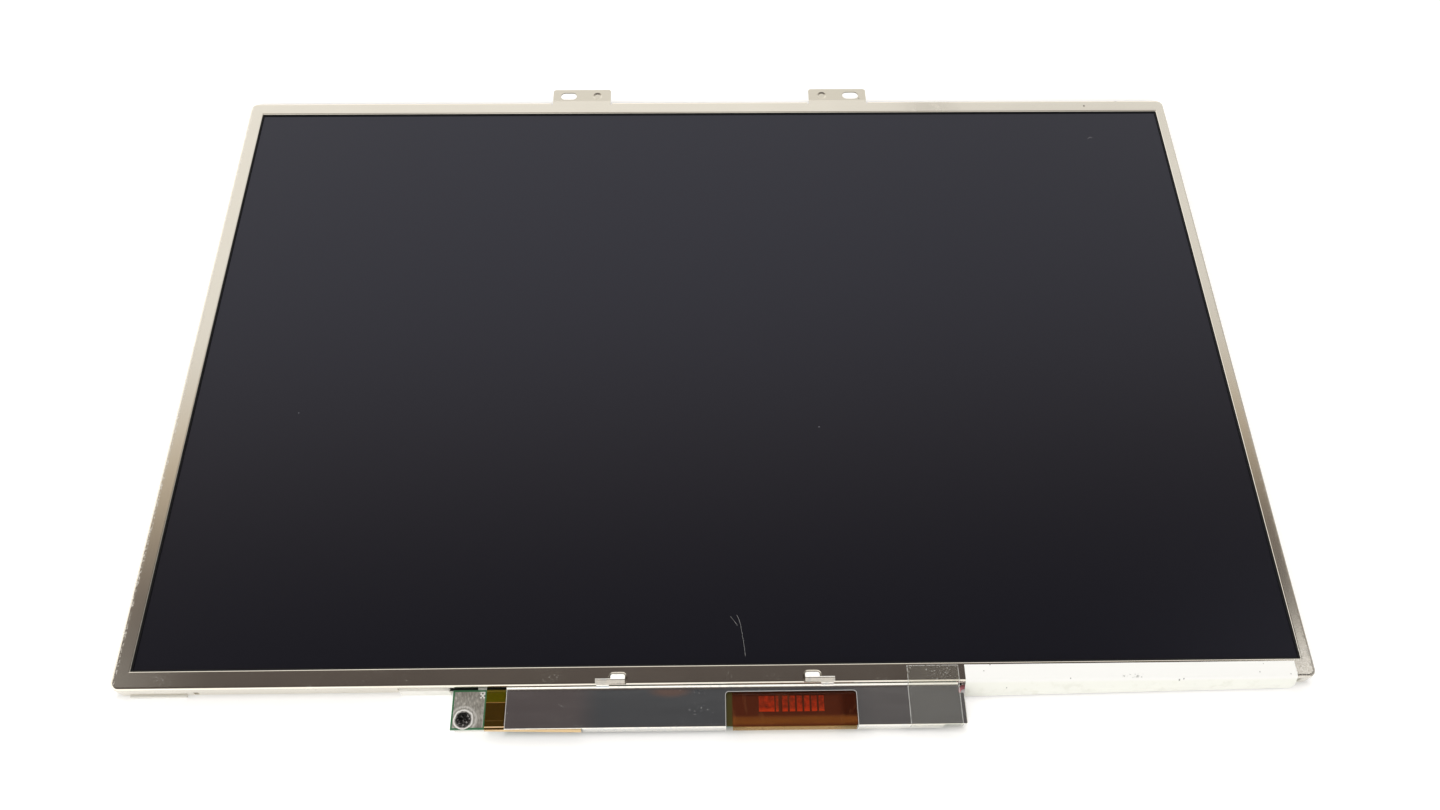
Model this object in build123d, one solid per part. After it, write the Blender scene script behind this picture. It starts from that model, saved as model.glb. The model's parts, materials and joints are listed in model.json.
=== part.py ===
from build123d import *
import os
from math import cos, radians, sin, tan

os.makedirs("parts", exist_ok=True)

# A lamp-lit laptop screen module, in millimetres: X along it, Y towards the fixing tabs, Z out of the screen
# The origin is the middle of the module's outline, on the rear plane that it lies on.

# Module outline
module_width = 344.0
module_height = 222.0
module_depth = 6.5
corner_radius = 2.5

# Bezel, pressed from one steel sheet
bezel_sheet = 0.4
bezel_bend = 0.9
bezel_edge_round = 0.36
bezel_inner_chamfer = 0.35
rail_left = 5.0
rail_right = 3.6
rail_top = 5.45
rail_bottom = 5.45
skirt_depth = 5.2
skirt_lip = 0.4
skirt_cut_left = -91.0
skirt_cut_from_right = 4.0

# Fixing tabs on the upper edge
tab_offset = 48.3
tab_width = 21.7
tab_reach = 6.2
tab_corner = 1.0
tab_relief = 0.6
tab_root = 0.3
slot_offset = 53.3
slot_length = 6.0
slot_width = 3.4
slot_from_edge = 3.0
dimple_offset = 42.5
dimple_radius = 1.7
dimple_floor_radius = 1.1
dimple_depth = 0.25
dimple_wall = 0.1

# Latches between skirt and frame, and side screw holes
latch_length = 6.0
latch_height = 1.2
latch_from_rear = 2.0
latch_play = 0.3
latch_flush = 0.1
latch_offset_x = 128.0
latch_offset_y = 55.0
lower_window_x = -148.5
lower_window_length = 1.4
side_hole_offset = 82.0
side_hole_from_rear = 3.0
side_hole_radius = 0.85
side_hole_depth = 2.4
side_hole_play = 0.35

# Screen cell, from the front
gasket_thick = 0.3
gasket_inset = 0.45
gasket_cover = 0.8
polariser_thick = 0.2
polariser_cover = 0.9
filter_thick = 0.5
filter_cover = 1.15
array_thick = 0.5
chip_ledge_bottom = 2.5
chip_ledge_left = 1.6
cell_play = 0.25
rear_polariser_cover = 0.75
rear_polariser_gap = 0.05

# Driver chips bonded on the ledges of the array glass
source_chip_count = 8
source_chip_length = 16.0
source_chip_width = 1.2
gate_chip_count = 3
gate_chip_length = 14.0
gate_chip_width = 0.9
driver_chip_thick = 0.35
driver_chip_gap = 0.3

# Light box
film_thick = 0.15
film_cover_bottom = 1.55
guide_thin = 1.2
guide_cover = 0.4
guide_play = 0.3
guide_to_lamp = 0.65
reflector_thick = 0.2
rear_recess = 0.55

# Lamp and its channel
lamp_radius = 1.0
lamp_gap = 1.0
channel_sheet = 0.2
channel_back_gap = 0.5
channel_grip_top = 0.7
channel_grip_rear = 3.9
channel_roof_gap = 0.05
channel_bend = 0.5
holder_length = 7.0
holder_end_play = 1.4
holder_play = 0.1
lamp_in_holder = 4.5
lamp_seat_gap = 0.05

# Moulded frame
frame_clearance = 0.1
frame_wall_bottom = 0.6
frame_roof_overlap = 0.45
frame_lip = 6.0
frame_edge_chamfer = 0.4
core_out_pitch = 40.0
core_out_length = 34.0
core_out_width = 2.2
core_out_depth = 3.0
core_out_wall = 1.5
board_exit_left = -78.0
board_exit_right = 72.0
foot_from_skirt = 0.3
foot_gap_to_board = 1.4
foot_reach = 0.5
foot_height = 4.2
corner_foot_left = 4.0
corner_foot_length = 16.0
corner_foot_height = 1.0

# Shelf arms that carry the board
arm_left_width = 9.4
arm_right_left = 43.8
arm_right_width = 8.4
arm_skin = 1.2
arm_board_margin = 0.5
boss_radius = 2.5
boss_hole_radius = 0.75
boss_hole_depth = 3.0

# Driver board
board_left = -75.1
board_thick = 0.8
board_gap_front = 0.6
board_from_shield_top = 0.23
board_from_flange = 0.15
board_from_shield_end = 1.6
screw_from_left = 3.5
screw_from_lower = 2.8
screw_head_radius = 2.1
screw_head_height = 0.9
screw_head_chamfer = 0.3
screw_shank_radius = 0.95
screw_hole_radius = 1.2
screw_length = 3.0
recess_span = 2.2
recess_width = 0.55
recess_depth = 0.6
pad_thick = 0.05
pad_margin = 0.5
pad_width = 8.6
solder_ring_inner = 2.2
solder_ring_outer = 2.8
solder_ring_height = 0.12

# Shield over the board
shield_left = -59.9
shield_right = 70.0
shield_sheet = 0.2
shield_drop = 1.2
shield_gap = 0.27
shield_reach = 11.95
shield_curl_radius = 1.3
shield_curl_angle = 52.0
shield_curl_land = 0.05
shield_lower_bend = 0.5
flange_depth = 4.0
flange_left = -38.0
flange_right = 63.7
opening_left = 2.25
opening_right = 39.4
opening_from_edge = 2.0
opening_corner = 0.9
shield_notch_width = 1.4
shield_notch_height = 2.75

# Shield fingers: a neck climbs off the shield, a lip folds over the bezel and a tongue dips into a pocket
finger_middle = -0.7
finger_offset = 27.75
tongue_width = 4.15
tongue_reach = 3.1
tongue_corner = 0.8
lip_width = 4.3
lip_back = 0.2
neck_inset = 0.35
finger_foot_out = 0.345
finger_foot_bend = 1.3
finger_shoulder_in = 0.03
finger_shoulder_down = 0.34
finger_shoulder_bend = 0.3
finger_crest_in = 1.4
finger_crest_up = 0.45
finger_crest_bend = 0.1
finger_overhang = 1.1
pocket_play = 0.25
pocket_depth = 0.35
pocket_slope = 45.0
pocket_wall = 0.3

# Flexible circuits and amber film
flex_thick = 0.1
flex_left_start = -58.0
flex_left_end = -42.0
flex_right_start = 6.0
flex_right_end = 38.0
flex_bond = 0.9
flex_board_bond = 1.0
flex_bend = 0.6
flex_slope_run = 2.0
film_left_start = -65.6
film_left_end = -38.4
film_centre_start = 4.1
film_centre_end = 43.0
film_edge_margin = 0.3
amber_thick = 0.08
amber_from_flex = 0.2
amber_bulge = 0.8
amber_bulge_tight = 0.22
amber_hang = 1.1
amber_bend = 0.2
amber_play = 0.3
amber_drape = 1.2

# Tinned lands seen through the shield's opening
land_height = 0.3
land_length = 4.4
land_wide = 4.4
land_thin = 0.75
land_narrow = 1.5
land_pitch = 2.07
land_count = 6
land_first = 11.6
land_thin_gap = 0.4
land_gap = 1.1
land_from_lower = 4.0

# Parts on the back of the board
timing_chip_size = 8.4
timing_chip_x = -46.0
power_chip_size = 5.0
power_chip_x = -26.0
inductor_size = 5.0
inductor_height = 1.8
inductor_round = 0.8
inductor_x = -14.0
chip_height = 0.9
capacitor_length = 1.6
capacitor_width = 0.9
capacitor_height = 0.8
capacitor_rows = 2
capacitor_count = 3
capacitor_pitch = 3.4
capacitor_first = -38.6
connector_length = 26.0
connector_depth = 4.6
connector_height = 2.0
connector_wall = 0.4
connector_end_wall = 1.6
connector_cavity = 3.2
connector_from_lower = 0.3
pin_count = 20
pin_pitch = 1.0
pin_width = 0.3
pin_height = 0.25
pin_length = 2.4

# Lamp leads and plug
lead_radius = 0.6
lead_wall_gap = 0.25
lead_arc_share = 0.45
exit_slot_play = 0.5
lead_exit_run = 6.0
hot_exit_from_holder = 2.0
hot_sag = 0.3
plug_past_shield = 0.6
plug_from_lower = 0.6
plug_length = 6.6
plug_width = 5.2
plug_height = 2.4
plug_board_gap = 0.2
plug_lead_pitch = 2.4
plug_key_width = 2.2
plug_key_depth = 0.5

# Tapes
tape_margin = 0.75
clear_tape_left = 54.2
clear_tape_right = 69.0
clear_tape_thick = 0.08
clear_tape_angle = 33.0
clear_tape_hang = 2.0
clear_tape_bend = 0.3
white_tape_left = 70.8
white_tape_from_right = 5.8
white_tape_thick = 0.12
white_tape_out_left = 2.75
white_tape_out_right = 1.4
white_tape_angle = 56.0
white_tape_toe = 0.3
white_tape_toe_bend = 0.8
white_tape_end = 0.5
seal_thick = 0.1
seal_bend = 0.25
seal_height = 0.85
seal_from_board = 0.05
seal_from_foot = 0.2
seal_tear_left = -68.3
seal_tear_right = -65.8

# Levels, from the front of the bezel down to the rear plane
front = module_depth
bezel_under = front - bezel_sheet
screen_face = bezel_under - gasket_thick
filter_front = screen_face - polariser_thick
array_front = filter_front - filter_thick
cell_seat = array_front - array_thick
rear_polariser_back = cell_seat - polariser_thick
films_top = rear_polariser_back - rear_polariser_gap
guide_top = films_top - 4 * film_thick
channel_rear = rear_recess
channel_floor = channel_rear + channel_sheet
guide_thick = guide_top - channel_floor - reflector_thick
channel_top = guide_top + channel_sheet
channel_roof = channel_top + channel_roof_gap
frame_top = bezel_under - frame_clearance
skirt_end = front - skirt_depth
lip_end = front - bezel_bend - skirt_lip
shield_face = front - shield_drop
shield_under = shield_face - shield_sheet
board_front = shield_under - board_gap_front
board_back = board_front - board_thick
lead_level = (channel_floor + guide_top) / 2

# Places seen from the front
half_width = module_width / 2
half_height = module_height / 2
frame_half_width = half_width - bezel_sheet - frame_clearance
frame_half_height = half_height - bezel_sheet - frame_clearance
window_left = rail_left - half_width
window_right = half_width - rail_right
window_top = half_height - rail_top
window_bottom = rail_bottom - half_height
filter_left = window_left - filter_cover
filter_right = window_right + filter_cover
filter_top = window_top + filter_cover
filter_bottom = window_bottom - filter_cover
array_left = filter_left - chip_ledge_left
array_bottom = filter_bottom - chip_ledge_bottom
guide_left = window_left + guide_cover
guide_right = window_right - guide_cover
guide_far = window_top - guide_cover - guide_play
guide_near = window_bottom + guide_to_lamp
pocket_left = guide_left - guide_play
pocket_right = guide_right + guide_play
pocket_far = guide_far + guide_play
roof_edge = window_bottom + frame_roof_overlap
lamp_y = guide_near - lamp_gap - lamp_radius
channel_back = lamp_y - lamp_radius - channel_back_gap - channel_sheet
cavity_back = frame_wall_bottom - frame_half_height
holder_left_end = pocket_left - holder_end_play
holder_right_end = pocket_right + holder_end_play
shield_top = -half_height - shield_gap
shield_bottom = -half_height - shield_reach
board_top = shield_top - board_from_shield_top
board_bottom = shield_bottom + shield_sheet + board_from_flange
board_right = shield_right - board_from_shield_end
board_middle = (board_top + board_bottom) / 2
film_start = board_top - flex_board_bond - amber_from_flex
screw_x = board_left + screw_from_left
screw_y = board_bottom + screw_from_lower
arm_right_end = arm_right_left + arm_right_width
hot_exit_x = holder_right_end - holder_length - hot_exit_from_holder
lead_inside_y = (channel_back + cavity_back) / 2
lead_outside_y = -frame_half_height - lead_radius - lead_wall_gap
plug_right = shield_right + plug_past_shield
plug_middle = plug_right - plug_width / 2
plug_lower = board_bottom + plug_from_lower
plug_upper = plug_lower + plug_length
foot_right = board_left - foot_gap_to_board
white_tape_right = half_width - white_tape_from_right

side_view = Plane(origin=(0, 0, 0), x_dir=(0, 1, 0), z_dir=(1, 0, 0))


def block(x0, x1, y0, y1, z0, z1):
    """A box between two opposite corners."""
    middle = Pos((x0 + x1) / 2, (y0 + y1) / 2, (z0 + z1) / 2)
    return middle * Box(x1 - x0, y1 - y0, z1 - z0)


def plate(x0, x1, y0, y1, z0, z1, corner):
    """A flat slab with rounded corners."""
    place = Pos((x0 + x1) / 2, (y0 + y1) / 2, z0)
    return extrude(place * RectangleRounded(x1 - x0, y1 - y0, corner), amount=z1 - z0)


def rod(x, y, z0, z1, radius):
    """An upright cylinder."""
    return Pos(x, y, (z0 + z1) / 2) * Cylinder(radius, z1 - z0)


def cross_rod(x0, x1, y, z, radius):
    """A cylinder along X."""
    return Pos((x0 + x1) / 2, y, z) * Rot(0, 90, 0) * Cylinder(radius, x1 - x0)


def across(section, x0, x1):
    """A (y, z) section run straight from x0 to x1."""
    return Pos(x0, 0, 0) * extrude(side_view * section, amount=x1 - x0, dir=(1, 0, 0))


def profile(*points):
    """A closed (y, z) section with straight sides."""
    return make_face(Polyline(*points, close=True))


def sheet_section(points, radius, sheet, side):
    """The section of a sheet folded along a (y, z) line, with its thickness on one side of that line."""
    fold = FilletPolyline(*points, radius=radius)
    return Face(fold.wire().offset_2d(sheet, side=side, closed=True))


def bent_sheet(points, radius, sheet, side, x0, x1):
    """A sheet folded along a (y, z) line and running from x0 to x1."""
    return across(sheet_section(points, radius, sheet, side), x0, x1)


def both_sides(offset):
    """The same distance on either side of the module's middle."""
    return (-offset, offset)


def reflector_under(y):
    """Height of the reflector sheet's back, which slopes with the wedge of the light guide."""
    slope = (guide_thick - guide_thin) / (guide_far - guide_near)
    return channel_floor + slope * (y - guide_near)


def guide_under(y):
    """Height of the light guide's back."""
    return reflector_under(y) + reflector_thick


def latch_places():
    """Middle and direction of each latch, along the upper edge and the sides."""
    upper = [(x, half_height, 0, 1) for x in (-latch_offset_x, 0, latch_offset_x)]
    sides = [(side * half_width, y, side, 0) for side in (-1, 1) for y in both_sides(latch_offset_y)]
    return upper + sides


def latch_block(place, length, height, inner, outer):
    """A block astride the skirt at one latch, from inner to outer depth below the skirt's outside."""
    x, y, along_x, along_y = place
    depth = inner - outer
    middle = (inner + outer) / 2
    wide = length if along_y else depth
    deep = depth if along_y else length
    centre = Pos(x - along_x * middle, y - along_y * middle, latch_from_rear + latch_height / 2)
    return centre * Box(wide, deep, height)


def side_hole(side, y, radius, inner, outer):
    """A hole along X through one side, between two depths below the skirt's outside."""
    x0 = side * (half_width - inner)
    x1 = side * (half_width - outer)
    return cross_rod(min(x0, x1), max(x0, x1), y, side_hole_from_rear, radius)


def make_front_bezel():
    """Pressed frame: rails round the window, a rolled outer bend, a skirt, tabs and clip pockets."""
    shell = plate(-half_width, half_width, -half_height, half_height, skirt_end, front, corner_radius)
    shell = fillet(shell.faces().sort_by(Axis.Z)[-1].edges(), bezel_bend)
    inside_x = half_width - bezel_sheet
    inside_y = half_height - bezel_sheet
    inside_corner = corner_radius - bezel_sheet
    below = skirt_end - bezel_sheet
    inside = plate(-inside_x, inside_x, -inside_y, inside_y, below, bezel_under, inside_corner)
    inside = chamfer(inside.faces().sort_by(Axis.Z)[-1].edges(), bezel_inner_chamfer)
    bezel = shell - inside
    bezel -= block(window_left, window_right, window_bottom, window_top, skirt_end, front)
    face = bezel.faces().filter_by(Axis.Z).sort_by(Axis.Z)[-1]
    bezel = fillet(face.inner_wires()[0].edges(), bezel_edge_round)

    cut_right = half_width - skirt_cut_from_right
    cut_outside = -half_height - bezel_sheet
    bezel -= block(skirt_cut_left, cut_right, cut_outside, bezel_bend - half_height, 0, lip_end)
    window_height = latch_height + 2 * latch_play
    window_depth = bezel_sheet + frame_clearance
    for place in latch_places():
        bezel -= latch_block(place, latch_length + 2 * latch_play, window_height, window_depth, -latch_play)
    lower_window = (lower_window_x, -half_height, 0, -1)
    bezel -= latch_block(lower_window, lower_window_length, window_height, window_depth, -latch_play)
    for side in (-1, 1):
        for y in both_sides(side_hole_offset):
            radius = side_hole_radius + side_hole_play
            bezel -= side_hole(side, y, radius, bezel_sheet + frame_clearance, -side_hole_play)
    for side in (-1, 1):
        bezel = add_tab(bezel, side)
        bezel = add_clip_pocket(bezel, side)
    return bezel


def add_tab(bezel, side):
    """One flat tab: the skirt is cut away and the front sheet runs straight out, with a slot and a dimple."""
    x0 = side * tab_offset - tab_width / 2
    x1 = side * tab_offset + tab_width / 2
    root = half_height - bezel_bend - tab_root
    tip = half_height + tab_reach
    bezel -= block(x0 - tab_relief, x1 + tab_relief, root, tip, 0, front)
    tab = block(x0, x1, root, tip, bezel_under, front)
    tip_edges = tab.edges().filter_by(Axis.Z).sort_by(Axis.Y)[-2:]
    tab = fillet(tip_edges, tab_corner)
    hole_y = half_height + slot_from_edge
    slot = Pos(side * slot_offset, hole_y, bezel_under) * SlotOverall(slot_length, slot_width)
    tab -= extrude(slot, amount=bezel_sheet)
    dimple_x = side * dimple_offset
    back = bezel_under - dimple_depth
    tab += rod(dimple_x, hole_y, back, bezel_under, dimple_radius - dimple_wall)
    dish = Cone(dimple_floor_radius, dimple_radius, dimple_depth)
    tab -= Pos(dimple_x, hole_y, front - dimple_depth / 2) * dish
    return bezel + tab


def add_clip_pocket(bezel, side):
    """A shallow dish pressed into the lower rail, open at the bend, where a shield finger dips its tongue."""
    x = finger_middle + side * finger_offset
    half_pocket = tongue_width / 2 + pocket_play
    inner = tongue_reach + pocket_play - half_height
    floor = front - pocket_depth
    half_dish = half_pocket + pocket_wall
    dish_low = bezel_sheet + pocket_wall - half_height
    dish_high = inner + pocket_wall
    dish_under = floor - bezel_sheet
    bezel += block(x - half_dish, x + half_dish, dish_low, dish_high, dish_under, bezel_under)
    outer = -half_height - half_pocket
    outline = RectangleRounded(2 * half_pocket, inner - outer, half_pocket / 2)
    outline = Pos(x, (inner + outer) / 2, floor) * outline
    return bezel - extrude(outline, amount=pocket_depth, taper=-pocket_slope)


def make_window_gasket():
    """Black strip pressed between bezel and screen, just showing inside the window."""
    outer = block(
        window_left - gasket_cover,
        window_right + gasket_cover,
        window_bottom - gasket_cover,
        window_top + gasket_cover,
        screen_face,
        bezel_under,
    )
    inner = block(
        window_left + gasket_inset,
        window_right - gasket_inset,
        window_bottom + gasket_inset,
        window_top - gasket_inset,
        screen_face,
        bezel_under,
    )
    return outer - inner


def make_front_polariser():
    cover = polariser_cover
    return block(
        window_left - cover,
        window_right + cover,
        window_bottom - cover,
        window_top + cover,
        filter_front,
        screen_face,
    )


def make_colour_filter_glass():
    return block(filter_left, filter_right, filter_bottom, filter_top, array_front, filter_front)


def make_array_glass():
    return block(array_left, filter_right, array_bottom, filter_top, cell_seat, array_front)


def make_rear_polariser():
    return block(
        pocket_left + rear_polariser_cover,
        pocket_right - rear_polariser_cover,
        roof_edge + guide_play,
        guide_far,
        rear_polariser_back,
        cell_seat,
    )


def make_source_driver_chips():
    """Chips in a row along the lower ledge of the array glass."""
    pitch = (filter_right - filter_left) / source_chip_count
    y1 = filter_bottom - driver_chip_gap
    chips = []
    for i in range(source_chip_count):
        x0 = filter_left + (i + 0.5) * pitch - source_chip_length / 2
        top = array_front + driver_chip_thick
        chips.append(block(x0, x0 + source_chip_length, y1 - source_chip_width, y1, array_front, top))
    return Compound(chips)


def make_gate_driver_chips():
    """Chips in a row up the left ledge of the array glass."""
    pitch = (filter_top - filter_bottom) / gate_chip_count
    x1 = filter_left - driver_chip_gap
    chips = []
    for i in range(gate_chip_count):
        y0 = filter_bottom + (i + 0.5) * pitch - gate_chip_length / 2
        top = array_front + driver_chip_thick
        chips.append(block(x1 - gate_chip_width, x1, y0, y0 + gate_chip_length, array_front, top))
    return Compound(chips)


def make_light_film(level):
    """One of the four loose films on the light guide, counted from the top."""
    top_z = films_top - level * film_thick
    near = window_bottom + film_cover_bottom
    return block(guide_left, guide_right, near, guide_far, top_z - film_thick, top_z)


def make_light_guide():
    """Acrylic wedge, thick at the lamp."""
    section = profile(
        (guide_near, guide_top),
        (guide_far, guide_top),
        (guide_far, guide_under(guide_far)),
        (guide_near, guide_under(guide_near)),
    )
    return across(section, guide_left, guide_right)


def make_reflector_sheet():
    section = profile(
        (guide_near, guide_under(guide_near)),
        (guide_far, guide_under(guide_far)),
        (guide_far, reflector_under(guide_far)),
        (guide_near, reflector_under(guide_near)),
    )
    return across(section, guide_left, guide_right)


def make_lamp_tube():
    """Thin glass tube between the two holders."""
    x0 = holder_left_end + holder_length - lamp_in_holder
    x1 = holder_right_end - holder_length + lamp_in_holder
    return cross_rod(x0, x1, lamp_y, lead_level, lamp_radius)


def make_lamp_reflector():
    """Folded channel behind the lamp, whose legs grip the edge of the light guide."""
    points = [
        (guide_near + channel_grip_rear, channel_rear),
        (channel_back, channel_rear),
        (channel_back, channel_top),
        (guide_near + channel_grip_top, channel_top),
    ]
    x0 = holder_left_end + holder_length
    x1 = holder_right_end - holder_length
    return bent_sheet(points, channel_bend, channel_sheet, Side.RIGHT, x0, x1)


def make_lamp_holder(side):
    """Rubber block that holds one end of the lamp, with the lamp's seat bored in its inner face."""
    outer_end = holder_right_end if side > 0 else holder_left_end
    inner_end = outer_end - side * holder_length
    seat_end = inner_end + side * (lamp_in_holder + lamp_seat_gap)
    holder = block(
        min(outer_end, inner_end),
        max(outer_end, inner_end),
        cavity_back + holder_play,
        roof_edge - holder_play,
        channel_rear,
        channel_top,
    )
    seat_radius = lamp_radius + lamp_seat_gap
    seat = cross_rod(min(inner_end, seat_end), max(inner_end, seat_end), lamp_y, lead_level, seat_radius)
    return holder - seat


def make_mould_frame():
    """White frame: cell seat, light pocket with a sloping rear lip, lamp cavity, latches and board arms."""
    inner_corner = corner_radius - bezel_sheet - frame_clearance
    frame = plate(
        -frame_half_width,
        frame_half_width,
        -frame_half_height,
        frame_half_height,
        0,
        frame_top,
        inner_corner,
    )
    frame = chamfer(frame.faces().sort_by(Axis.Z)[-1].edges(), frame_edge_chamfer)
    frame -= block(
        array_left - cell_play,
        filter_right + cell_play,
        array_bottom - cell_play,
        filter_top + cell_play,
        cell_seat,
        frame_top,
    )
    light_pocket = profile(
        (roof_edge, cell_seat),
        (pocket_far, cell_seat),
        (pocket_far, reflector_under(pocket_far)),
        (roof_edge, reflector_under(roof_edge)),
    )
    frame -= across(light_pocket, pocket_left, pocket_right)
    lip_left = pocket_left + frame_lip
    lip_right = pocket_right - frame_lip
    frame -= block(lip_left, lip_right, roof_edge, pocket_far - frame_lip, 0, cell_seat)
    cavity_left = holder_left_end - holder_play
    cavity_right = holder_right_end + holder_play
    cavity_near = guide_near + channel_grip_rear + guide_play
    frame -= block(cavity_left, cavity_right, cavity_back, roof_edge, 0, channel_roof)
    frame -= block(pocket_left, pocket_right, roof_edge, cavity_near, 0, channel_roof)
    frame -= block(board_exit_left, board_exit_right, -half_height, array_bottom, cell_seat, frame_top)
    frame = add_core_outs(frame)
    frame = add_latches_and_side_holes(frame)
    frame = add_feet(frame)
    frame = add_board_arms(frame)
    return cut_lead_exits(frame)


def add_core_outs(frame):
    """Hollows in the back of the thick upper member."""
    count = int((2 * (half_width - frame_lip) - tab_width) // core_out_pitch)
    y1 = frame_half_height - core_out_wall
    for i in range(count):
        x = (i - (count - 1) / 2) * core_out_pitch
        x0 = x - core_out_length / 2
        frame -= block(x0, x0 + core_out_length, y1 - core_out_width, y1, 0, core_out_depth)
    return frame


def add_latches_and_side_holes(frame):
    """Latch bumps that spring into the skirt's windows, and blind screw holes in the two sides."""
    for place in latch_places():
        root = bezel_sheet + 2 * frame_clearance
        frame += latch_block(place, latch_length, latch_height, root, latch_flush)
    for side in (-1, 1):
        for y in both_sides(side_hole_offset):
            outside = bezel_sheet + frame_clearance
            frame -= side_hole(side, y, side_hole_radius, outside + side_hole_depth, outside)
    return frame


def add_feet(frame):
    """Steps of the frame that show below the bezel's lower edge: beside the board and at the left corner."""
    foot_left = skirt_cut_left + foot_from_skirt
    outer = -half_height - foot_reach
    frame += block(foot_left, foot_right, outer, cavity_back, 0, foot_height)
    corner_x0 = corner_foot_left - half_width
    corner_x1 = corner_x0 + corner_foot_length
    return frame + block(corner_x0, corner_x1, outer, cavity_back, 0, corner_foot_height)


def add_board_arms(frame):
    """Two hollow arms under the board, the left one with a screw boss."""
    spans = [
        (board_left + arm_board_margin, board_left + arm_board_margin + arm_left_width),
        (arm_right_left, arm_right_end),
    ]
    lower = board_bottom + arm_board_margin
    for x0, x1 in spans:
        frame += block(x0, x1, lower, cavity_back, 0, board_back)
        hollow_top = board_back - arm_skin
        frame -= block(x0 + arm_skin, x1 - arm_skin, lower + arm_skin, -frame_half_height, 0, hollow_top)
    boss = rod(screw_x, screw_y, 0, board_back, boss_radius)
    frame += boss & block(*spans[0], lower, cavity_back, 0, board_back)
    return frame - rod(screw_x, screw_y, board_back - boss_hole_depth, board_back, boss_hole_radius)


def cut_lead_exits(frame):
    """Slots in the lower wall where the hot lead slants out and the return lead turns out."""
    half_slot = lead_radius + exit_slot_play
    z0 = lead_level - half_slot
    z1 = lead_level + half_slot
    hot_slot = (hot_exit_x - lead_exit_run, hot_exit_x + exit_slot_play)
    return_x = plug_middle - plug_lead_pitch / 2
    turn_room = lead_arc_share * (lead_inside_y - plug_upper)
    return_slot = (return_x - turn_room - exit_slot_play, return_x + half_slot)
    for x0, x1 in (hot_slot, return_slot):
        frame -= block(x0, x1, -half_height, cavity_back, z0, z1)
    return frame


def return_route():
    """Points that the return lead follows: along inside the lower wall, then out through it to the plug."""
    plug_x = plug_middle - plug_lead_pitch / 2
    return [
        (holder_left_end + holder_length, lead_inside_y, lead_level),
        (plug_x, lead_inside_y, lead_level),
        (plug_x, plug_upper, lead_level),
    ]


def hot_route():
    """Points that the hot lead follows: out of the right holder, along under the white tape, to the plug."""
    plug_x = plug_middle + plug_lead_pitch / 2
    return [
        (holder_right_end - holder_length, lead_inside_y, lead_level),
        (hot_exit_x, lead_inside_y, lead_level),
        (hot_exit_x - lead_exit_run, lead_outside_y, lead_level),
        (plug_x, lead_outside_y - hot_sag, lead_level),
        (plug_x, plug_upper, lead_level),
    ]


def make_lead(points):
    """A round lead along straight runs joined by arcs as large as its runs allow."""
    radii = []
    for before, corner, after in zip(points, points[1:], points[2:]):
        run_in = Vector(*corner) - Vector(*before)
        run_out = Vector(*after) - Vector(*corner)
        turn = run_in.get_angle(run_out)
        radii.append(lead_arc_share * min(run_in.length, run_out.length) / tan(radians(turn / 2)))
    path = FilletPolyline(*points, radius=radii)
    start = Plane(origin=path @ 0, z_dir=path % 0)
    return sweep(start * Circle(lead_radius), path=path.wire())


def make_lamp_plug():
    """Two-way plug housing, tucked in behind the shield's right end."""
    top_z = board_back - plug_board_gap
    base_z = top_z - plug_height
    housing = block(plug_right - plug_width, plug_right, plug_lower, plug_upper, base_z, top_z)
    half_key = plug_key_width / 2
    key_top = base_z + plug_key_depth
    key_left = plug_middle - half_key
    key_right = plug_middle + half_key
    return housing - block(key_left, key_right, plug_lower, plug_upper, base_z, key_top)


def make_driver_board():
    board = block(board_left, board_right, board_bottom, board_top, board_back, board_front)
    return board - rod(screw_x, screw_y, board_back, board_front, screw_hole_radius)


def make_ground_pad():
    """Bare tinned end of the board, with the solder ring that the screw head presses in."""
    x0 = board_left + pad_margin
    top_z = board_front + pad_thick
    pad = block(x0, x0 + pad_width, board_bottom + pad_margin, board_top - pad_margin, board_front, top_z)
    ring_top = top_z + solder_ring_height
    ring = rod(screw_x, screw_y, board_front, ring_top, solder_ring_outer)
    ring -= rod(screw_x, screw_y, board_front, ring_top, solder_ring_inner)
    ring &= block(x0, x0 + pad_width, board_bottom, board_top, board_front, ring_top)
    return pad + ring - rod(screw_x, screw_y, board_front, ring_top, screw_hole_radius)


def make_board_screw():
    """Pan-head screw with a cross recess, down through the board into the frame's boss."""
    seat = board_front + pad_thick
    head_top = seat + screw_head_height
    head = rod(screw_x, screw_y, seat, head_top, screw_head_radius)
    head = chamfer(head.faces().sort_by(Axis.Z)[-1].edges(), screw_head_chamfer)
    shank_end = board_back
    screw = head + rod(screw_x, screw_y, shank_end, seat, screw_shank_radius)
    screw += rod(screw_x, screw_y, shank_end - screw_length + board_thick, shank_end, boss_hole_radius)
    cross = Box(recess_span, recess_width, recess_depth) + Box(recess_width, recess_span, recess_depth)
    return screw - Pos(screw_x, screw_y, head_top - recess_depth / 2) * cross


def make_contact_lands():
    """One wide land, a thin one and a row of narrow ones under the amber film."""
    y0 = board_bottom + land_from_lower
    top_z = board_front + land_height
    thin_start = land_first + land_wide + land_thin_gap
    narrow_start = thin_start + land_thin + land_gap
    spans = [(land_first, land_wide), (thin_start, land_thin)]
    spans += [(narrow_start + i * land_pitch, land_narrow) for i in range(land_count)]
    return Compound([block(x0, x0 + wide, y0, y0 + land_length, board_front, top_z) for x0, wide in spans])


def make_flex_circuit(x0, x1):
    """Flexible circuit from the ledge of the array glass out and down to the board."""
    foot = board_top - flex_board_bond
    glass_edge = array_bottom - frame_clearance
    points = [
        (array_bottom + flex_bond, array_front),
        (glass_edge, array_front),
        (glass_edge - flex_slope_run, board_front),
        (foot, board_front),
    ]
    return bent_sheet(points, flex_bend, flex_thick, Side.RIGHT, x0, x1)


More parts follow.
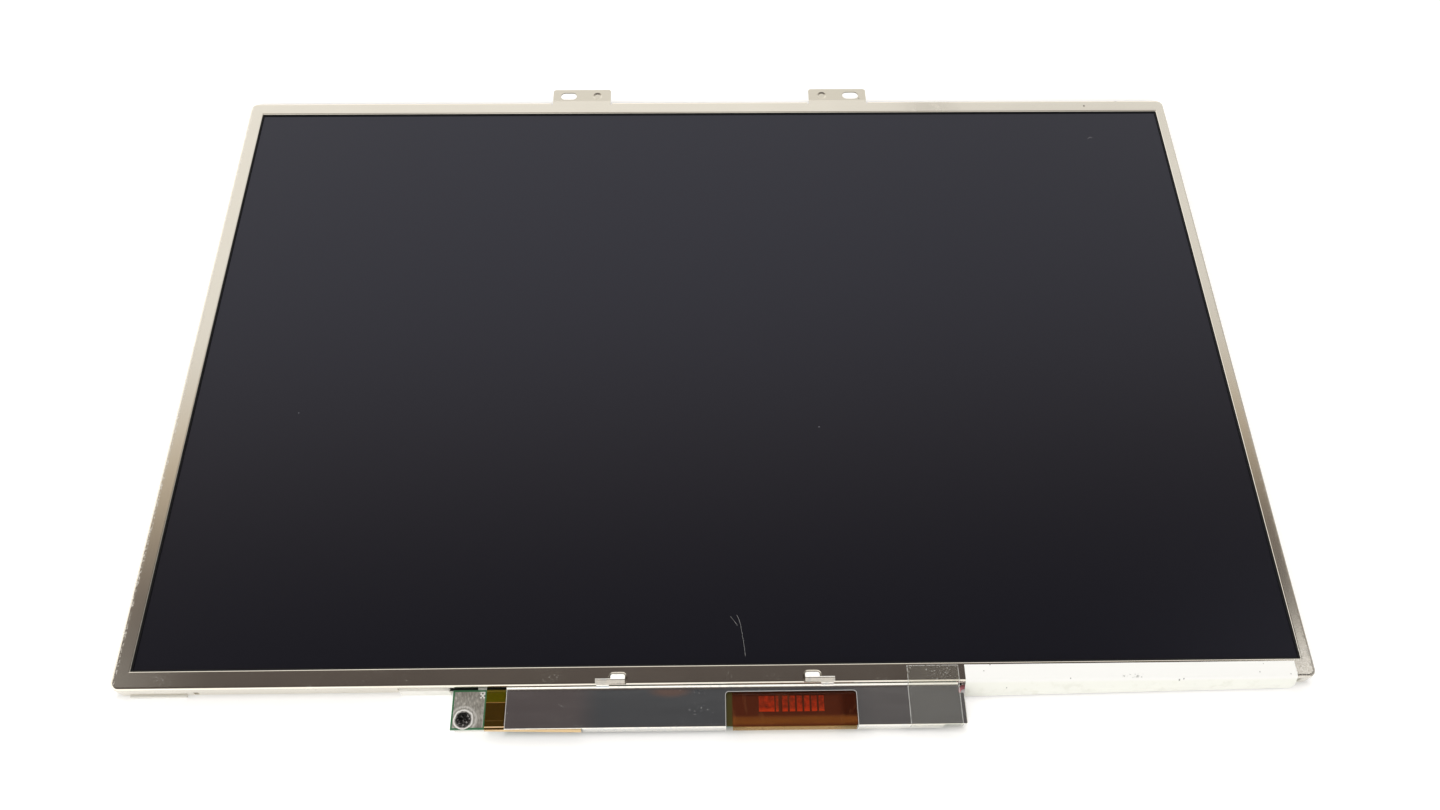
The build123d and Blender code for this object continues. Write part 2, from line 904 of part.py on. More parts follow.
def film_section(start, rest, bulge, x):
    """Section of an amber film lying on the board at a height of rest, folded round its lower edge."""
    level = board_front + rest
    points = [
        (start, board_front),
        (start - amber_drape, level),
        (board_bottom + amber_drape, level),
        (board_bottom - bulge / 2, board_front),
        (board_bottom - bulge, board_front - amber_hang),
    ]
    return Pos(x, 0, 0) * (side_view * sheet_section(points, amber_bend, amber_thick, Side.RIGHT))


def make_insulating_film_left():
    """Left film: tight round the edge beside the shield, where it covers the board, and looser under it."""
    left = film_section(board_top, amber_thick, amber_bulge_tight, film_left_start)
    right = film_section(board_top, amber_thick, amber_bulge, film_left_end)
    film = loft([left, right], ruled=True)
    return film - block(shield_left - amber_play, film_left_end, film_start, board_top, board_front, front)


def make_insulating_film_centre():
    """Centre film, which lies on the lands and ends short of the flange beside the opening."""
    left = film_section(film_start, land_height, amber_bulge, film_centre_start)
    right = film_section(film_start, land_height, amber_bulge, film_centre_end)
    film = loft([left, right], ruled=True)
    fold_x = opening_right - film_edge_margin
    return film - block(fold_x, film_centre_end, shield_bottom - amber_bulge, board_bottom, 0, front)


def make_board_shield():
    """Thin cover: an upturned edge, a lower flange in two stretches, an opening, a notch and two fingers."""
    curl = radians(shield_curl_angle)
    lead_in = shield_curl_radius * tan(curl / 2) + shield_curl_land
    points = [
        (shield_top, shield_face + lead_in * sin(curl)),
        (shield_top - lead_in * cos(curl), shield_face),
        (shield_bottom, shield_face),
        (shield_bottom, shield_face - flange_depth),
    ]
    bends = [shield_curl_radius, shield_lower_bend]
    shield = bent_sheet(points, bends, shield_sheet, Side.LEFT, shield_left, shield_right)
    flange_top = shield_face - shield_sheet
    for x0, x1 in ((shield_left, flange_left), (flange_right, shield_right)):
        shield -= block(x0, x1, shield_bottom, shield_bottom + shield_lower_bend, 0, flange_top)
    opening_top = -half_height - opening_from_edge
    opening_low = shield_bottom - opening_from_edge
    shield -= plate(opening_left, opening_right, opening_low, opening_top, 0, front, opening_corner)
    notch_left = shield_right - shield_notch_width
    shield -= block(notch_left, shield_right, shield_top - shield_notch_height, shield_top, 0, front)
    for side in (-1, 1):
        shield = add_finger(shield, side)
    return shield


def add_finger(shield, side):
    """One finger: its neck climbs past the bezel's edge to a folded lip, and a tongue runs on beside it."""
    x = finger_middle + side * finger_offset
    tongue = (x - tongue_width / 2, x + tongue_width / 2)
    outer_edge = x + side * (tongue_width / 2 + lip_width)
    lip = (min(*tongue, outer_edge), max(*tongue, outer_edge))
    neck_middle = x + side * (tongue_width + lip_width) / 2
    half_neck = lip_width / 2 - neck_inset
    neck = (neck_middle - half_neck, neck_middle + half_neck)
    root = shield_top - shield_curl_radius - shield_curl_land
    shield -= block(*neck, root, shield_top + shield_sheet, 0, front)

    foot = Vector(-half_height - finger_foot_out, shield_under)
    shoulder = Vector(finger_shoulder_in - half_height, front - finger_shoulder_down)
    crest = Vector(finger_crest_in - half_height, front + finger_crest_up)
    tip = Vector(tongue_reach - half_height, front - pocket_depth)
    overhang = crest + (shoulder - crest).normalized() * finger_overhang
    back = crest + (tip - crest).normalized() * lip_back
    start = Vector(root - shield_sheet, shield_under)
    neck_bends = [finger_foot_bend, finger_shoulder_bend, finger_crest_bend]
    shield += bent_sheet([start, foot, shoulder, crest, back], neck_bends, shield_sheet, Side.LEFT, *neck)
    shield += bent_sheet([overhang, crest, back], finger_crest_bend, shield_sheet, Side.LEFT, *lip)
    flap = bent_sheet([overhang, crest, tip], finger_crest_bend, shield_sheet, Side.LEFT, *tongue)
    tip_corners = flap.faces().sort_by(Axis.Y)[-1].edges().sort_by(SortBy.LENGTH)[:2]
    return shield + fillet(tip_corners, tongue_corner)


def make_timing_chip():
    half = timing_chip_size / 2
    y = board_middle
    x = timing_chip_x
    return block(x - half, x + half, y - half, y + half, board_back - chip_height, board_back)


def make_power_chip():
    half = power_chip_size / 2
    y = board_middle
    x = power_chip_x
    return block(x - half, x + half, y - half, y + half, board_back - chip_height, board_back)


def make_board_inductor():
    half = inductor_size / 2
    y = board_middle
    x = inductor_x
    base_z = board_back - inductor_height
    return plate(x - half, x + half, y - half, y + half, base_z, board_back, inductor_round)


def make_board_capacitors():
    """Small capacitors in two rows beside the timing chip."""
    row_gap = timing_chip_size - capacitor_length
    capacitors = []
    for row in range(capacitor_rows):
        y = board_middle + (row - (capacitor_rows - 1) / 2) * row_gap
        for i in range(capacitor_count):
            x = capacitor_first + i * capacitor_pitch
            capacitors.append(
                block(
                    x - capacitor_width / 2,
                    x + capacitor_width / 2,
                    y - capacitor_length / 2,
                    y + capacitor_length / 2,
                    board_back - capacitor_height,
                    board_back,
                )
            )
    return Compound(capacitors)


def connector_ends():
    """The signal connector's ends, along X: it lies behind the shield's opening."""
    middle = (opening_left + opening_right) / 2
    return (middle - connector_length / 2, middle + connector_length / 2)


def make_signal_connector():
    """Socket on the back of the board, open towards the board's lower edge."""
    x0, x1 = connector_ends()
    y0 = board_bottom + connector_from_lower
    z0 = board_back - connector_height
    housing = block(x0, x1, y0, y0 + connector_depth, z0, board_back)
    return housing - block(
        x0 + connector_end_wall,
        x1 - connector_end_wall,
        y0,
        y0 + connector_cavity,
        z0 + connector_wall,
        board_back - connector_wall,
    )


def make_connector_pins():
    """Contacts that stand out of the socket's back wall."""
    x0, x1 = connector_ends()
    wall_y = board_bottom + connector_from_lower + connector_cavity
    z = board_back - connector_height / 2
    pins = []
    for i in range(pin_count):
        x = (x0 + x1) / 2 + (i - (pin_count - 1) / 2) * pin_pitch
        half = pin_width / 2
        half_pin = pin_height / 2
        pins.append(block(x - half, x + half, wall_y - pin_length, wall_y, z - half_pin, z + half_pin))
    return Compound(pins)


def bend_start():
    """Where the bezel's face starts to roll into its lower bend."""
    return bezel_bend - half_height


def over_the_edge(angle):
    """Corner of a tape that follows the bezel's lower bend and leaves it at this angle below the face."""
    return bend_start() - bezel_bend * tan(radians(angle) / 2)


def make_clear_tape():
    """Clear tape over the rail, across to the shield and round its lower bend."""
    corner = over_the_edge(clear_tape_angle)
    landing = corner - shield_drop / tan(radians(clear_tape_angle))
    points = [
        (window_bottom - tape_margin, front),
        (corner, front),
        (landing, shield_face),
        (shield_bottom, shield_face),
        (shield_bottom, shield_face - clear_tape_hang),
    ]
    bends = [bezel_bend, clear_tape_bend, shield_lower_bend]
    return bent_sheet(points, bends, clear_tape_thick, Side.RIGHT, clear_tape_left, clear_tape_right)


def white_tape_section(out, x):
    """Section of the white tape: over the rail, round its bend and down outside the lamp lead."""
    corner = over_the_edge(white_tape_angle)
    knee = -half_height - out + white_tape_toe
    points = [
        (window_bottom - tape_margin, front),
        (corner, front),
        (knee, front - (corner - knee) * tan(radians(white_tape_angle))),
        (-half_height - out, white_tape_end),
    ]
    section = sheet_section(points, [bezel_bend, white_tape_toe_bend], white_tape_thick, Side.RIGHT)
    return Pos(x, 0, 0) * (side_view * section)


def make_white_tape():
    """White tape along the lower edge, which stands out more where the lead leaves it."""
    left = white_tape_section(white_tape_out_left, white_tape_left)
    right = white_tape_section(white_tape_out_right, white_tape_right)
    return loft([left, right], ruled=True)


def make_light_seal_tape():
    """Black tape in the angle between the frame's lower wall and the board, torn in two beside the screw."""
    points = [
        (-frame_half_height, board_back + seal_height),
        (-frame_half_height, board_back),
        (board_top + seal_from_board, board_back),
    ]
    spans = ((foot_right + seal_from_foot, seal_tear_left), (seal_tear_right, shield_right))
    return Compound([bent_sheet(points, seal_bend, seal_thick, Side.RIGHT, x0, x1) for x0, x1 in spans])


pieces = {
    "front_bezel": make_front_bezel(),
    "window_gasket": make_window_gasket(),
    "front_polariser": make_front_polariser(),
    "colour_filter_glass": make_colour_filter_glass(),
    "array_glass": make_array_glass(),
    "rear_polariser": make_rear_polariser(),
    "source_driver_chips": make_source_driver_chips(),
    "gate_driver_chips": make_gate_driver_chips(),
    "upper_diffuser": make_light_film(0),
    "upper_prism_sheet": make_light_film(1),
    "lower_prism_sheet": make_light_film(2),
    "lower_diffuser": make_light_film(3),
    "light_guide": make_light_guide(),
    "reflector_sheet": make_reflector_sheet(),
    "lamp_tube": make_lamp_tube(),
    "lamp_reflector": make_lamp_reflector(),
    "lamp_holder_left": make_lamp_holder(-1),
    "lamp_holder_right": make_lamp_holder(1),
    "mould_frame": make_mould_frame(),
    "hot_lead": make_lead(hot_route()),
    "return_lead": make_lead(return_route()),
    "lamp_plug": make_lamp_plug(),
    "driver_board": make_driver_board(),
    "ground_pad": make_ground_pad(),
    "board_screw": make_board_screw(),
    "contact_lands": make_contact_lands(),
    "flex_circuit_left": make_flex_circuit(flex_left_start, flex_left_end),
    "flex_circuit_right": make_flex_circuit(flex_right_start, flex_right_end),
    "insulating_film_left": make_insulating_film_left(),
    "insulating_film_centre": make_insulating_film_centre(),
    "board_shield": make_board_shield(),
    "timing_chip": make_timing_chip(),
    "power_chip": make_power_chip(),
    "board_inductor": make_board_inductor(),
    "board_capacitors": make_board_capacitors(),
    "signal_connector": make_signal_connector(),
    "connector_pins": make_connector_pins(),
    "clear_tape": make_clear_tape(),
    "white_tape": make_white_tape(),
    "light_seal_tape": make_light_seal_tape(),
}

for name, piece in pieces.items():
    export_step(piece, f"parts/{name}.step")
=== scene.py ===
import json
import math

import bpy
from mathutils import Matrix, Vector


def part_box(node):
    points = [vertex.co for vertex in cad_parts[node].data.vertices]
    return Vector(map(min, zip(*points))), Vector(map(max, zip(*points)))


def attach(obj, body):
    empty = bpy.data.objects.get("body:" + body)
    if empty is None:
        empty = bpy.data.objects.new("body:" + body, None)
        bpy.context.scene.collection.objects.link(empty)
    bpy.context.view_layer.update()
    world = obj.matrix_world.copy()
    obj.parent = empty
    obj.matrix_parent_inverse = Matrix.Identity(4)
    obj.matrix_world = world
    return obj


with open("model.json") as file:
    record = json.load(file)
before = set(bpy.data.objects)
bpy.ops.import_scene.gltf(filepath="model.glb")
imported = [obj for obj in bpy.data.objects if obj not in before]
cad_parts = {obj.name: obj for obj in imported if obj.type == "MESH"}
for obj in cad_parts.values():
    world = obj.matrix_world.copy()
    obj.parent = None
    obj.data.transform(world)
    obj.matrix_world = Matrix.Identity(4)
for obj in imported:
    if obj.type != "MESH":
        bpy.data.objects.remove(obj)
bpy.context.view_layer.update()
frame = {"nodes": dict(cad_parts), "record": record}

MM = 0.001


def box_mm(node):
    """A node's lowest and highest corners, in millimetres."""
    return [Vector(corner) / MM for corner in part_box(node)]


# Edges of the bezel, its window, the board and the shield, in millimetres from the middle
bezel_low, bezel_high = box_mm("front_bezel")
half_x = bezel_high.x
half_y = -bezel_low.y
gasket_cover = 0.8
gasket_low, gasket_high = box_mm("window_gasket")
window_bottom = gasket_low.y + gasket_cover
window_top = gasket_high.y - gasket_cover
board_low, board_high = box_mm("driver_board")
shield_low = box_mm("board_shield")[0]

# The shield's opening, in millimetres
opening_left = 2.25
opening_right = 39.4
opening_top = -113.0
opening_corner = 0.9

# Strength of the soft box in front
front_light = 0.3

# Dark pits in the bezel: place and radius in millimetres
bezel_pits = (
    (141.6, 108.1, 0.35),
    (154.0, 110.5, 0.30),
    (56.5, 112.4, 0.20),
)

# Tiny holes in the board's bare pad, painted dark as their shade: place and radius in millimetres
pad_holes = (
    (-66.7, -112.5, 0.22),
    (-67.2, -113.2, 0.22),
    (-66.1, -113.2, 0.22),
    (-66.7, -113.7, 0.18),
)

# Dark marks on the white tape: place and radius in millimetres
tape_marks = (
    (78.2, -106.4, 0.20),
    (76.2, -108.2, 0.16),
    (82.8, -112.4, 0.14),
    (100.8, -110.6, 0.16),
    (132.2, -111.2, 0.20),
    (133.4, -111.0, 0.16),
    (155.5, -109.4, 0.16),
    (157.1, -107.0, 0.12),
    (164.3, -110.1, 0.15),
)


class Value:
    """A number that may change over a surface. Arithmetic on it adds Math nodes."""

    def __init__(self, finish, socket):
        self.finish = finish
        self.socket = socket

    def math(self, operation, *others):
        made = self.finish.node("Math", {"operation": operation}, dict(enumerate((self, *others))))
        return Value(self.finish, made.outputs[0])

    def flipped(self, operation, other):
        made = self.finish.node("Math", {"operation": operation}, {0: other, 1: self})
        return Value(self.finish, made.outputs[0])

    def __add__(self, other):
        return self.math("ADD", other)

    __radd__ = __add__

    def __sub__(self, other):
        return self.math("SUBTRACT", other)

    def __rsub__(self, other):
        return self.flipped("SUBTRACT", other)

    def __mul__(self, other):
        return self.math("MULTIPLY", other)

    __rmul__ = __mul__

    def __truediv__(self, other):
        return self.math("DIVIDE", other)

    def __pow__(self, other):
        return self.math("POWER", other)

    def most(self, other):
        return self.math("MAXIMUM", other)

    def least(self, other):
        return self.math("MINIMUM", other)

    def size(self):
        return self.math("ABSOLUTE")


class Finish:
    """The nodes of one material, or of the world."""

    def __init__(self, owner, coordinates="Object", per_unit=1000.0):
        owner.use_nodes = True
        self.owner = owner
        self.tree = owner.node_tree
        self.tree.nodes.clear()
        source = self.node("TexCoord").outputs[coordinates]
        scaled = self.node("VectorMath", {"operation": "SCALE"}, {0: source, "Scale": per_unit})
        self.place = scaled.outputs[0]
        parts = self.node("SeparateXYZ", {}, {0: self.place})
        self.x, self.y, self.z = (Value(self, parts.outputs[i]) for i in range(3))

    def node(self, kind, settings=None, inputs=None):
        made = self.tree.nodes.new("ShaderNode" + kind)
        for name, value in (settings or {}).items():
            setattr(made, name, value)
        for key, value in (inputs or {}).items():
            self.feed(made.inputs[key], value)
        return made

    def feed(self, socket, value):
        if isinstance(value, Value):
            value = value.socket
        if isinstance(value, bpy.types.NodeSocket):
            self.tree.links.new(value, socket)
        elif socket.type == "RGBA" and len(value) == 3:
            socket.default_value = (*value, 1.0)
        else:
            socket.default_value = value

    def blend(self, first, second, factor):
        """One colour turning into another."""
        made = self.node("Mix", {"data_type": "RGBA"}, {0: factor, 6: first, 7: second})
        return made.outputs[2]

    def smooth(self, value, low, high):
        """0 at low, 1 at high and a smooth change between them, whichever of the two is the greater."""
        settings = {"interpolation_type": "SMOOTHSTEP"}
        made = self.node("MapRange", settings, {"Value": value, "From Min": low, "From Max": high})
        return Value(self, made.outputs[0])

    def band(self, value, low, high, soft):
        """1 between low and high, with soft edges."""
        return self.smooth(value, low - soft, low + soft) * (1 - self.smooth(value, high - soft, high + soft))

    def stretched(self, stretch, turn):
        """The place on the object in millimetres, turned about Z and stretched."""
        made = self.node("Mapping", {}, {"Vector": self.place, "Rotation": (0, 0, turn), "Scale": stretch})
        return made.outputs[0]

    def noise(self, per_mm, detail=2.0, stretch=(1, 1, 1), turn=0.0, rough=0.5):
        """Cloudy noise from 0 to 1."""
        inputs = {"Scale": per_mm, "Detail": detail, "Roughness": rough}
        inputs["Vector"] = self.stretched(stretch, turn)
        return Value(self, self.node("TexNoise", {}, inputs).outputs["Fac"])

    def specks(self, per_mm, size, share):
        """Scattered round specks: size is their radius in cells, share the part of cells that have one."""
        inputs = {"Vector": self.place, "Scale": per_mm, "Randomness": 1.0}
        cells = self.node("TexVoronoi", {}, inputs)
        chosen = self.node("SeparateColor", {}, {0: cells.outputs["Color"]})
        picked = Value(self, chosen.outputs[0])
        near = Value(self, cells.outputs["Distance"])
        grown = size * (0.4 + 0.6 * Value(self, chosen.outputs[1]))
        return picked.math("LESS_THAN", share) * near.math("LESS_THAN", grown)

    def away_from(self, x, y):
        """Distance from a place seen from the front."""
        return ((self.x - x) ** 2 + (self.y - y) ** 2) ** 0.5

    def spot(self, x, y, radius, soft=0.12):
        """1 within a radius of a place seen from the front."""
        return 1 - self.smooth(self.away_from(x, y), radius - soft, radius + soft)

    def spots(self, places, soft=0.12):
        """1 within any of several round places."""
        found = 0.0
        for x, y, radius in places:
            found = self.spot(x, y, radius, soft).most(found)
        return found

    def facing_up(self):
        """1 where the surface faces the front, 0 on an upright wall."""
        normal = self.node("SeparateXYZ", {}, {0: self.node("NewGeometry").outputs["Normal"]})
        return Value(self, normal.outputs[2])

    def scuffs(self, per_mm, least, cluster=0.1):
        """Ragged flecks that crowd together in places: the higher the least level, the fewer."""
        crowd = self.noise(cluster, 3)
        level = self.noise(per_mm, 6, rough=0.7) + 0.4 * (crowd - 0.5)
        return self.smooth(level, least, least + 0.05)

    def bump(self, height, strength, distance=0.05 * MM):
        made = self.node("Bump", {}, {"Height": height, "Strength": strength, "Distance": distance})
        return made.outputs[0]

    def surface(self, **inputs):
        """The main shader; names are its sockets with underscores for spaces."""
        named = {name.replace("_", " "): value for name, value in inputs.items()}
        return self.node("BsdfPrincipled", {}, named).outputs[0]

    def clear(self, tint):
        """A tinted view of what lies under the surface."""
        return self.node("BsdfTransparent", {}, {"Color": tint}).outputs[0]

    def mix(self, first, second, factor):
        """One shader turning into another."""
        return self.node("MixShader", {}, {0: factor, 1: first, 2: second}).outputs[0]

    def done(self, shader):
        kind = "OutputWorld" if isinstance(self.owner, bpy.types.World) else "OutputMaterial"
        self.node(kind, {}, {"Surface": shader})
        return self.owner


def finish(name):
    return Finish(bpy.data.materials.new(name))


def bezel_steel():
    """Satin stainless sheet: scuffed along the lower rail, worn at the sides, speckled at the lower right,
    with painted shade on the tabs' upright walls.
    """
    f = finish("bezel_steel")
    cloud = f.noise(0.05, 3)
    fine = f.noise(2.5, 4)
    low_rail = f.smooth(f.y, window_bottom + 2, window_bottom - 1)
    top_rail = f.smooth(f.y, window_top, window_top + 0.5)
    tab = f.smooth(f.y, half_y + 0.3, half_y + 0.8)
    right_corner = f.smooth(f.away_from(half_x, -half_y), 13, 7)
    grit = right_corner * f.smooth(f.noise(3.5, 4, rough=0.7), 0.42, 0.62)
    grain = f.noise(5.0, 3, rough=0.7)
    outer_half = f.smooth(f.y, window_bottom - 1.0, window_bottom - 3.0)
    scuffs = f.scuffs(2.4, 0.66) * (low_rail * (0.3 + 0.7 * outer_half)).most(0.1)
    ragged = f.smooth(f.noise(1.8, 6, (1, 0.5, 1), 0, 0.7), 0.44, 0.64)
    worn = f.band(half_x - f.x.size(), 0.2, 1.5, 0.25) * ragged * (0.3 + 0.7 * f.smooth(f.x, 10, -10))
    dull = top_rail * f.band(f.x, 74, 92, 8) * f.smooth(f.noise(0.25, 4), 0.25, 0.5)
    pits = f.spots(bezel_pits)
    chip = f.spot(-166.6, 101.2, 0.3)
    # Painted shade on the upright walls of the tabs: their slots, dimples and edges.
    wall_shade = tab * f.smooth(f.facing_up().size(), 0.6, 0.3)
    marks = (0.7 * scuffs).most(0.35 * worn).most(0.5 * grit).most(chip)
    tone = f.blend((0.735, 0.695, 0.615), (0.795, 0.755, 0.67), cloud)
    tone = f.blend(tone, (0.56, 0.53, 0.47), 0.35 * grain)
    tone = f.blend(tone, (0.62, 0.585, 0.50), tab * (0.4 + 0.6 * fine))
    tone = f.blend(tone, (0.48, 0.455, 0.41), (0.4 * dull).most(0.8 * (right_corner - grit)))
    # Dark pits, and painted shade on the tabs' upright walls.
    tone = f.blend(tone, (0.06, 0.05, 0.04), (0.85 * pits).most(0.6 * wall_shade))
    tone = f.blend(tone, (0.90, 0.885, 0.84), marks)
    shader = f.surface(
        Base_Color=tone,
        Metallic=1 - 0.85 * marks,
        Roughness=0.12 + 0.06 * cloud + 0.25 * worn + 0.15 * dull + 0.18 * tab,
        Normal=f.bump(fine, 0.06),
    )
    return f.done(shader)


def plain(name, colour, darker, roughness, per_mm=0.6, metallic=0.0):
    """A finish with fine mottling between two colours."""
    f = finish(name)
    mottle = f.noise(per_mm, 4)
    shader = f.surface(
        Base_Color=f.blend(darker, colour, mottle),
        Metallic=metallic,
        Roughness=roughness + 0.1 * (mottle - 0.5),
        Normal=f.bump(f.noise(per_mm * 6, 2), 0.1),
    )
    return f.done(shader)


def screen_face():
    """Anti-glare front film, bluish black, with a little dust."""
    f = finish("screen_face")
    grain = f.noise(9.0, 2)
    dust = f.specks(0.12, 0.028, 0.06)
    tone = f.blend((0.0042, 0.0046, 0.0075), (0.22, 0.23, 0.25), dust)
    shader = f.surface(
        Base_Color=tone,
        Roughness=0.24,
        Specular_Tint=(0.80, 0.80, 1.0),
        Normal=f.bump(grain, 0.15),
    )
    return f.done(shader)


def amber_film():
    """Amber insulating film, olive over the bare board at the left, creased over the lands in the middle,
    darker with painted shade along the shield opening's right and top edges.
    """
    f = finish("film_amber")
    left = f.smooth(f.x, -19.0, -20.0)
    middle = 1 - left
    down = board_high.y - f.y
    upper = left * f.smooth(down, 3.6, 3.45)
    lines = f.band(down, 0.25, 0.42, 0.05).most(f.band(down, 3.5, 3.75, 0.06))
    lines = lines.most(0.35 * f.band(down, 8.65, 8.9, 0.06))
    fold = f.band(f.y, board_low.y + 0.42, board_low.y + 0.75, 0.06)
    creases = f.noise(0.55, 4, (1.0, 0.25, 1.0), 0.5)
    wrinkle = middle * f.smooth(creases, 0.60, 0.64) * f.smooth(creases, 0.68, 0.64)
    streaks = f.noise(0.8, 4, (0.12, 1.0, 1.0))
    gold = middle * f.band(f.y, board_low.y + 0.4, board_low.y + 2.6, 0.7) * (0.5 + streaks)
    past = f.smooth(f.y, board_low.y, board_low.y - 0.25)
    # Painted shade on the film along the right and top edges of the shield's opening.
    painted_shade = f.smooth(f.x, opening_right - 6, opening_right - 3)
    painted_shade = painted_shade.most(f.smooth(f.y, opening_top - 1.6, opening_top - 0.8))
    own = f.blend((0.16, 0.055, 0.032), (0.075, 0.025, 0.015), middle * painted_shade)
    own = f.blend(own, (0.08, 0.075, 0.014), left)
    own = f.blend(own, (0.165, 0.225, 0.006), upper)
    own = f.blend(own, (0.40, 0.20, 0.06), (0.6 * left * lines).most(0.15 * wrinkle))
    own = f.blend(own, (0.27, 0.105, 0.025), gold.least(1.0))
    own = f.blend(own, (0.92, 0.70, 0.40), left * fold.most(past))
    solid = 0.22 + 0.5 * left * lines.most(fold).most(past) + 0.1 * wrinkle + 0.15 * gold
    shader = f.surface(Base_Color=own, Roughness=0.2, Normal=f.bump(creases, 0.5, 0.3 * MM))
    under = f.mix(f.clear((0.95, 0.50, 0.08)), f.clear((1.0, 0.82, 0.48)), past * left)
    under = f.mix(under, f.clear((1.0, 0.86, 0.60)), past * middle)
    return f.done(f.mix(under, shader, solid.least(1.0)))


def clear_tape():
    """Clear tape: pale cut edges, dust caught under it and a slight grey haze."""
    f = finish("tape_clear")
    low, high = box_mm("clear_tape")
    rim = (f.x - low.x).least(high.x - f.x).least(high.y - f.y)
    edge = f.smooth(rim, 0.30, 0.10)
    dust = f.scuffs(1.8, 0.64, 0.2) * f.smooth(f.y, -half_y - 1, -half_y + 1)
    haze = 0.05 + 0.45 * edge * f.smooth(f.noise(1.5, 2), 0.25, 0.5) + 0.6 * dust
    shader = f.surface(
        Base_Color=(0.80, 0.80, 0.77),
        Roughness=0.2,
        Normal=f.bump(f.noise(0.4, 3), 0.2, 0.2 * MM),
    )
    return f.done(f.mix(f.clear((0.97, 0.97, 0.955)), shader, haze.least(0.9)))


def white_tape():
    """White tape: clean on the rail, cream where it folds down, with a few dark marks."""
    f = finish("tape_white")
    folded = f.smooth(f.y, -half_y + 0.1, -half_y - 0.6)
    soil = f.smooth(f.noise(0.35, 4), 0.52, 0.75) * folded
    ragged = 0.5 * (f.noise(2.5, 4, rough=0.7) - 0.5)
    marks = 0.0
    for x, y, radius in tape_marks:
        marks = f.smooth(f.away_from(x, y) + ragged, radius + 0.1, radius - 0.1).most(marks)
    rubbed = f.band(f.x, 116, 122, 0.5) * f.band(f.y, -110.6, -109.6, 0.15)
    rubbed *= f.smooth(f.noise(1.6, 4), 0.52, 0.60)
    tone = f.blend((0.93, 0.935, 0.915), (0.90, 0.91, 0.85), folded)
    tone = f.blend(tone, (0.76, 0.77, 0.69), 0.5 * soil)
    tone = f.blend(tone, (0.12, 0.11, 0.10), (0.8 * marks).most(0.5 * rubbed))
    shader = f.surface(Base_Color=tone, Roughness=0.45, Normal=f.bump(f.noise(0.5, 3), 0.15, 0.2 * MM))
    return f.done(shader)


def shield_steel():
    """Zinc-bright sheet, clouded blue and violet, scuffed; the blue is partly painted reflection, with a
    painted warm glow and painted highlights on bent edges and round its opening.
    """
    f = finish("shield_steel")
    cloud = f.noise(0.035, 2)
    streaks = f.noise(0.5, 3, (0.12, 1, 1))
    upper_edge = f.smooth(f.y, -half_y - 1.5, -half_y - 0.7)
    lower_edge = f.smooth(f.y, shield_low.y + 0.6, shield_low.y + 0.2)
    # Painted highlight along the bent upper and lower edges.
    bend_highlight = upper_edge.most(lower_edge) * (0.75 + 0.25 * f.smooth(f.noise(0.7, 5), 0.35, 0.55))
    paler = f.smooth(f.x, 30, 46)
    violet = f.smooth(f.x, -32, -42)
    # Painted warm glow of reflected light on the sheet.
    glow = f.smooth((((f.x + 13.5) / 7) ** 2 + ((f.y + 112.6) / 2.2) ** 2) ** 0.5, 1.1, 0.3)
    scuffs = f.scuffs(2.2, 0.68, 0.12)
    half_opening = (opening_right - opening_left) / 2
    past_side = (f.x - (opening_left + half_opening)).size() - half_opening + opening_corner
    past_top = f.y - opening_top + opening_corner
    past = (past_side.most(0.0) ** 2 + past_top.most(0.0) ** 2) ** 0.5 - opening_corner
    # Painted highlight along the shield's left edge and round its opening.
    rim = f.band(f.x - shield_low.x, -0.1, 0.2, 0.06).most(f.smooth(past, 0.24, 0.12))
    # The blue is partly the zinc's own tint, partly a painted reflection of the room.
    tone = f.blend((0.40, 0.47, 0.53), (0.49, 0.555, 0.605), cloud)
    tone = f.blend(tone, (0.62, 0.58, 0.60), 0.8 * violet)
    tone = f.blend(tone, (0.80, 0.58, 0.50), 0.8 * glow)
    tone = f.blend(tone, (0.74, 0.78, 0.81), paler)
    # Painted highlights on the bent edges and round the opening; the rim's also stays in the marks below.
    tone = f.blend(tone, (0.84, 0.82, 0.77), bend_highlight.most(0.7 * rim))
    marks = (0.45 * scuffs).most(0.55 * rim)
    tone = f.blend(tone, (0.88, 0.88, 0.85), marks)
    shader = f.surface(
        Base_Color=tone,
        Metallic=1 - 0.85 * marks,
        Roughness=0.16 + 0.08 * streaks,
        Normal=f.bump(streaks, 0.05),
    )
    return f.done(shader)


